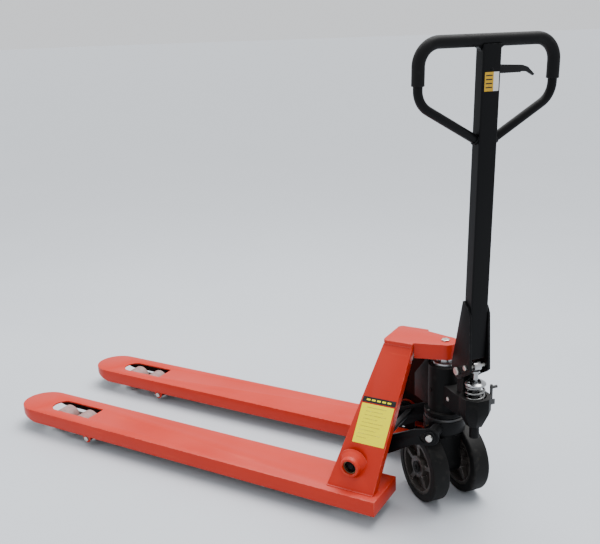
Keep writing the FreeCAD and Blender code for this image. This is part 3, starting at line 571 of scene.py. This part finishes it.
def makeBossFlares():  # the pressed swelling of the leg around each shaft boss
    for word, side in (("Near", 1), ("Far", -1)):
        startClean()
        bpy.ops.mesh.primitive_cone_add(vertices=64, radius1=flare["base"], radius2=flare["tip"],
                                        depth=flare["depth"], end_fill_type="NOTHING", location=(0, 0, 0))
        swelling = bpy.context.object
        swelling.name = "bossFlare" + word
        openUp(swelling, "EDGE")
        pick("edges", lambda edge: abs(edge.verts[0].co.z - edge.verts[1].co.z) > flare["depth"] * 0.5)
        bpy.ops.mesh.subdivide(number_cuts=5)
        bpy.ops.mesh.select_mode(type="VERT")
        pick("verts", lambda vert: abs(vert.co.z) < flare["depth"] * 0.4)
        bpy.ops.transform.resize(value=(flare["waist"], flare["waist"], 1), center_override=(0, 0, 0))
        closeUp()
        thicken = swelling.modifiers.new("sheet", "SOLIDIFY")
        thicken.thickness = flare["sheet"]
        thicken.offset = -1
        bpy.ops.object.modifier_apply(modifier=thicken.name)
        smooth(swelling, 50)
        spot = Vector((rockerShaft.x, side * (flare["outer"] + flare["depth"] / 2), rockerShaft.z))
        settle(swelling, setIn(spot, (0, -side, 0), upward), "frame", "frame_paint")


makeBossFlares()

gusset = dict(size=12 * mm, rise=51 * mm, thickness=17 * mm, sunk=0.8 * mm, over=1 * mm)
collar = dict(ring=11.6 * mm, tube=2.6 * mm, along=-158.5 * mm, lean=30, ripple=9, dip=0.35 * mm, out=1.5 * mm)


def makeHandleGussets():
    half = gusset["thickness"] / 2
    for word, sign in (("Left", -1), ("Right", 1)):
        size, rise = gusset["size"], gusset["rise"]
        edge = columnSide - gusset["sunk"]
        top = rise + gusset["over"]
        places = ((edge, rise - size), (edge + size * 0.3, rise - size * 0.42), (edge + size, top), (edge, top))
        corners = [columnPoint(-half, sign * sideways, along) for sideways, along in places]
        addPanel("handleGusset" + word, corners, columnOut, gusset["thickness"], "handle", "black_paint")
        startClean()
        bpy.ops.mesh.primitive_torus_add(major_radius=collar["ring"], minor_radius=collar["tube"],
                                         major_segments=40, minor_segments=10)
        bead = bpy.context.object
        bead.name = "loopWeld" + word
        openUp(bead, "VERT")
        pick("verts", lambda vert: math.degrees(math.atan2(vert.co.y, vert.co.x)) // collar["ripple"] % 2 == 0)
        bpy.ops.transform.shrink_fatten(value=-collar["dip"])
        closeUp()
        smooth(bead, 60)
        lean = math.radians(collar["lean"])
        direction = across * sign * math.cos(lean) + columnUp * math.sin(lean)
        spot = columnPoint(0, sign * (columnSide + collar["out"]), collar["along"])
        settle(bead, setIn(spot, direction, columnOut), "handle", "black_paint")


makeHandleGussets()

weld = dict(radius=3.0 * mm, headRadius=2.2 * mm, pitch=4.2 * mm, dip=0.7 * mm, footLift=0.6 * mm,
            headDrop=1.0 * mm, footEnds=(0.01, 0.99), headEnds=(0.03, 0.97))


def makeWeld(name, start, end, radius=weld["radius"]):
    run = Vector(end) - Vector(start)
    startClean()
    bpy.ops.mesh.primitive_cylinder_add(vertices=10, radius=radius, depth=run.length, location=(0, 0, 0))
    bead = bpy.context.object
    bead.name = name
    ripples = max(3, int(run.length / weld["pitch"]) | 1)
    openUp(bead, "EDGE")
    pick("edges", lambda edge: abs(edge.verts[0].co.z - edge.verts[1].co.z) > run.length * 0.9)
    bpy.ops.mesh.subdivide(number_cuts=ripples)
    bpy.ops.mesh.select_mode(type="VERT")
    step = run.length / (ripples + 1)
    pick("verts", lambda vert: round((vert.co.z + run.length / 2) / step) % 2 == 0)
    bpy.ops.transform.shrink_fatten(value=-weld["dip"])
    bpy.ops.mesh.select_all(action="SELECT")
    bpy.ops.mesh.normals_make_consistent(inside=False)
    closeUp()
    smooth(bead, 60)
    sideways = Vector((0, 0, 1)) if abs(run.normalized().z) < 0.9 else Vector((1, 0, 0))
    settle(bead, setIn((Vector(start) + Vector(end)) / 2, run, sideways), "frame", "weldPaint")


def flip(spot, side):
    return Vector((spot.x, spot.y * side, spot.z))


def makeWelds():
    foot = legLow.z + weld["footLift"]
    top = legHigh.z - weld["headDrop"]
    inward = Vector((0, leg["flange"], 0))
    for word, side in (("Near", 1), ("Far", -1)):
        front, rear = (legPoint(share, foot) for share in weld["footEnds"])
        headFront, headRear = (legPoint(share, top) for share in weld["headEnds"])
        makeWeld("footWeld" + word, flip(front, side), flip(rear, side))
        makeWeld("footWeldFront" + word, flip(front, side), flip(front + inward, side))
        makeWeld("footWeldRear" + word, flip(rear, side), flip(rear + inward, side))
        makeWeld("headWeld" + word, flip(headFront, side), flip(headRear, side), weld["headRadius"])


makeWelds()

hexBolt = dict(flats=1.0, height=0.62, chamfer=0.10, crown=0.14, dish=0.30, dishDepth=0.04, edging=0.035,
               washer=1.28, washerHeight=0.16, washerEdge=0.03)


def modelHexBolt():  # a head of unit radius on its washer, sitting on Z = 0
    startClean()
    bpy.ops.mesh.primitive_cylinder_add(vertices=28, radius=hexBolt["washer"], depth=hexBolt["washerHeight"],
                                        location=(0, 0, hexBolt["washerHeight"] / 2))
    washer = bpy.context.object
    openUp(washer)
    pick("faces", lambda face: abs(face.normal.z) > 0.9)
    bpy.ops.mesh.bevel(offset=hexBolt["washerEdge"], segments=2, affect="EDGES")
    closeUp()
    startClean()
    middle = hexBolt["washerHeight"] + hexBolt["height"] / 2
    bpy.ops.mesh.primitive_cylinder_add(vertices=6, radius=hexBolt["flats"], depth=hexBolt["height"],
                                        location=(0, 0, middle))
    head = bpy.context.object
    openUp(head)
    pick("faces", lambda face: face.normal.z > 0.9)
    bpy.ops.mesh.inset(thickness=hexBolt["crown"])
    bpy.ops.transform.translate(value=(0, 0, hexBolt["chamfer"]))
    bpy.ops.mesh.inset(thickness=hexBolt["dish"])
    bpy.ops.transform.translate(value=(0, 0, -hexBolt["dishDepth"]))
    closeUp()
    startClean()
    washer.select_set(True)
    head.select_set(True)
    bpy.context.view_layer.objects.active = head
    bpy.ops.object.join()
    joined = bpy.context.object
    edging = joined.modifiers.new("edging", "BEVEL")
    edging.width = hexBolt["edging"]
    edging.segments = 2
    edging.limit_method = "ANGLE"
    edging.angle_limit = math.radians(30)
    bpy.ops.object.modifier_apply(modifier=edging.name)
    smooth(joined)
    return joined


fastener = dict(ramBolt=12 * mm, tankPlug=9 * mm, tankSpot=(-74 * mm, 0, 368 * mm), tankSlope=(-68, 64),
                flangeBolt=3.6 * mm, flangeRing=51.2 * mm, flangeTop=268 * mm,
                sidePlug=7 * mm, sidePlugOut=45.2 * mm, sidePlugHeight=330 * mm,
                valveNut=6.5 * mm, valveNutAhead=60 * mm, valveNutOut=26.8 * mm, valveNutHeight=322 * mm,
                shaftCap=9 * mm, shaftCapOut=214.6 * mm, axleCap=6.5 * mm, axleCapOut=91.6 * mm,
                axleHeight=100 * mm)


def boltAt(source, name, spot, direction, radius, body, finish="zinc_steel", turn=0.0):
    place = setIn(spot, direction, across if abs(Vector(direction).dot(across)) < 0.9 else upward)
    place = place @ Matrix.Rotation(turn, 4, "Z") @ Matrix.Scale(radius, 4)
    copyTo(source, name, place, body, finish)


def fitBolts():
    bolt = modelHexBolt()
    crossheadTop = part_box("crosshead")[1].z
    boltAt(bolt, "ramTopBolt", Vector((steerAxis.x, 0, crossheadTop)), upward, fastener["ramBolt"], "frame",
           turn=0.3)
    run, climb = fastener["tankSlope"]
    slope = (ahead * run + upward * climb).normalized()
    boltAt(bolt, "tankFiller", steeredPoint(*fastener["tankSpot"]), slope, fastener["tankPlug"], "pump")
    ring = fastener["flangeRing"]
    for count in range(1, 5):  # four of six places: the plunger housing covers the other two
        angle = math.radians(30 + 60 * count)
        spot = steeredPoint(ring * math.cos(angle), ring * math.sin(angle), fastener["flangeTop"])
        boltAt(bolt, "flangeBolt%d" % count, spot, upward, fastener["flangeBolt"], "pump", turn=angle)
    for word, sign in (("Left", -1), ("Right", 1)):
        spot = steeredPoint(0, sign * fastener["sidePlugOut"], fastener["sidePlugHeight"])
        boltAt(bolt, "pumpPlug" + word, spot, across * sign, fastener["sidePlug"], "pump", "black_casting")
        spot = steeredPoint(fastener["valveNutAhead"], sign * fastener["valveNutOut"],
                            fastener["valveNutHeight"])
        boltAt(bolt, "housingPlug" + word, spot, across * sign, fastener["valveNut"], "pump")
        spot = Vector((rockerShaft.x, sign * fastener["shaftCapOut"], rockerShaft.z))
        boltAt(bolt, "shaftCap" + word, spot, (0, sign, 0), fastener["shaftCap"], "rocker", "black_paint")
        spot = steeredPoint(0, sign * fastener["axleCapOut"], fastener["axleHeight"])
        boltAt(bolt, "axleCap" + word, spot, across * sign, fastener["axleCap"], "pump", "black_casting",
               turn=0.5)
    discard(bolt)


fitBolts()
print("fasteners fitted")

gripLip = dict(ring=13.2 * mm, tube=2.3 * mm, sideways=182 * mm, along=-27.5 * mm)
serration = dict(count=8, first=38 * mm, pitch=7.0 * mm, ridge=1.5 * mm, width=6.4 * mm, drop=-9.6 * mm)


def makeGripLips():
    startClean()
    bpy.ops.mesh.primitive_torus_add(major_radius=gripLip["ring"], minor_radius=gripLip["tube"],
                                     major_segments=36, minor_segments=10)
    ring = bpy.context.object
    openUp(ring, "VERT")
    pick("verts", lambda vert: vert.co.z < -gripLip["tube"] * 0.5)
    bpy.ops.transform.translate(value=(0, 0, gripLip["tube"] * 0.35))
    closeUp()
    smooth(ring, 60)
    for word, sign in (("Left", -1), ("Right", 1)):
        place = setIn(columnPoint(0, sign * gripLip["sideways"], gripLip["along"]), columnUp, across)
        copyTo(ring, "gripLip" + word, place, "handle", "grip_rubber")
    discard(ring)


def makeSerrations():
    startClean()
    bpy.ops.mesh.primitive_cylinder_add(vertices=10, radius=serration["ridge"], depth=serration["width"])
    ridge = bpy.context.object
    openUp(ridge)
    pick("faces", lambda face: abs(face.normal.z) > 0.9)
    bpy.ops.mesh.inset(thickness=0.3 * mm)
    bpy.ops.transform.resize(value=(1, 1, 1.04), center_override=(0, 0, 0))
    closeUp()
    smooth(ridge, 50)
    for count in range(serration["count"]):
        sideways = serration["first"] + count * serration["pitch"]
        place = setIn(columnPoint(0, sideways, serration["drop"]), columnOut, across)
        copyTo(ridge, "leverRidge%d" % count, place, "release_lever", "black_plastic")
    discard(ridge)


makeGripLips()
makeSerrations()
print("grips finished")


greaser = dict(base=3.4 * mm, tip=2.2 * mm, height=4 * mm, shoulder=1.6 * mm, ledge=0.5 * mm, stem=1.2 * mm,
               behind=30 * mm, out=49.0 * mm, up=226 * mm, lean=(-0.5, 0.85))


def makeNipple():
    startClean()
    bpy.ops.mesh.primitive_cone_add(vertices=20, radius1=greaser["base"], radius2=greaser["tip"],
                                    depth=greaser["height"], location=(0, 0, greaser["height"] / 2))
    nipple = bpy.context.object
    openUp(nipple)
    pick("faces", lambda face: face.normal.z > 0.9)
    bpy.ops.mesh.extrude_region_move(TRANSFORM_OT_translate={"value": (0, 0, greaser["shoulder"])})
    bpy.ops.mesh.inset(thickness=greaser["ledge"])
    bpy.ops.mesh.extrude_region_move(TRANSFORM_OT_translate={"value": (0, 0, greaser["stem"])})
    closeUp()
    smooth(nipple)
    for word, sign in (("Left", -1), ("Right", 1)):
        spot = Vector((steerAxis.x - greaser["behind"], sign * greaser["out"], greaser["up"]))
        place = setIn(spot, (greaser["lean"][0], sign * greaser["lean"][1], 0), upward)
        copyTo(nipple, "greaseNipple" + word, place, "truss", "bronze")
    discard(nipple)


makeNipple()

studio = dict(floorSize=400.0, floorColour=(0.50, 0.53, 0.57), farColour=(0.66, 0.68, 0.70),
              worldColour=(0.95, 0.97, 1.0), worldStrength=1.0, cameraSpot=(1.2915, -1.9580, 1.2794),
              cameraAzimuth=30.10, cameraElevation=16.51, cameraRoll=-2.16, lens=48.07,
              sunPower=3.0, sunAngle=38, sunTip=-14, sunLean=10)
softboxes = {
    "overhead": dict(spot=(-0.2, 0.9, 3.0), target=(0, 0, 0.2), size=(3.4, 2.0), power=85.0),
    "keySide": dict(spot=(-2.4, -2.6, 2.2), target=(0.1, 0, 0.4), size=(2.0, 1.6), power=18.0),
}


def makeFloor():
    startClean()
    bpy.ops.mesh.primitive_plane_add(size=studio["floorSize"], location=(0, 0, 0))
    floor = bpy.context.object
    floor.name = "studioFloor"
    recipe = Recipe("studioFloor")
    mottle = recipe.noise(1.4, 5.0)
    grit = recipe.noise(260.0, 2.0)
    tone = recipe.blend(mottle * 0.25, studio["floorColour"], studio["farColour"])
    dress(floor, recipe.finish(Base_Color=tone, Roughness=0.34 + mottle * 0.14,
                               Normal=recipe.relief(grit, 0.05, 0.0005)))


def addSoftbox(name, spot, target, size, power):
    lamp = bpy.data.lights.new(name, "AREA")
    lamp.shape = "RECTANGLE"
    lamp.size, lamp.size_y = size
    lamp.energy = power
    holder = bpy.data.objects.new(name, lamp)
    bpy.context.scene.collection.objects.link(holder)
    holder.location = spot
    holder.rotation_euler = (Vector(target) - Vector(spot)).to_track_quat("-Z", "Y").to_euler()


def makeCamera():
    camera = bpy.data.cameras.new("mainCamera")
    camera.sensor_width = 36.0
    camera.lens = studio["lens"]
    holder = bpy.data.objects.new("mainCamera", camera)
    bpy.context.scene.collection.objects.link(holder)
    turn = Matrix.Rotation(math.radians(studio["cameraAzimuth"]), 4, "Z")
    tip = Matrix.Rotation(math.radians(90 - studio["cameraElevation"]), 4, "X")
    roll = Matrix.Rotation(math.radians(studio["cameraRoll"]), 4, "Z")
    holder.matrix_world = Matrix.Translation(studio["cameraSpot"]) @ turn @ tip @ roll
    bpy.context.scene.camera = holder


makeFloor()
world = bpy.data.worlds.new("studioWorld")
world.use_nodes = True
world.node_tree.nodes["Background"].inputs["Color"].default_value = (*studio["worldColour"], 1)
world.node_tree.nodes["Background"].inputs["Strength"].default_value = studio["worldStrength"]
bpy.context.scene.world = world
sky = bpy.data.lights.new("skylight", "SUN")
sky.energy = studio["sunPower"]
sky.angle = math.radians(studio["sunAngle"])
skyHolder = bpy.data.objects.new("skylight", sky)
bpy.context.scene.collection.objects.link(skyHolder)
skyHolder.rotation_euler = (math.radians(studio["sunTip"]), math.radians(studio["sunLean"]), 0)
for name, box in softboxes.items():
    addSoftbox(name, **box)
makeCamera()
print("studio ready")
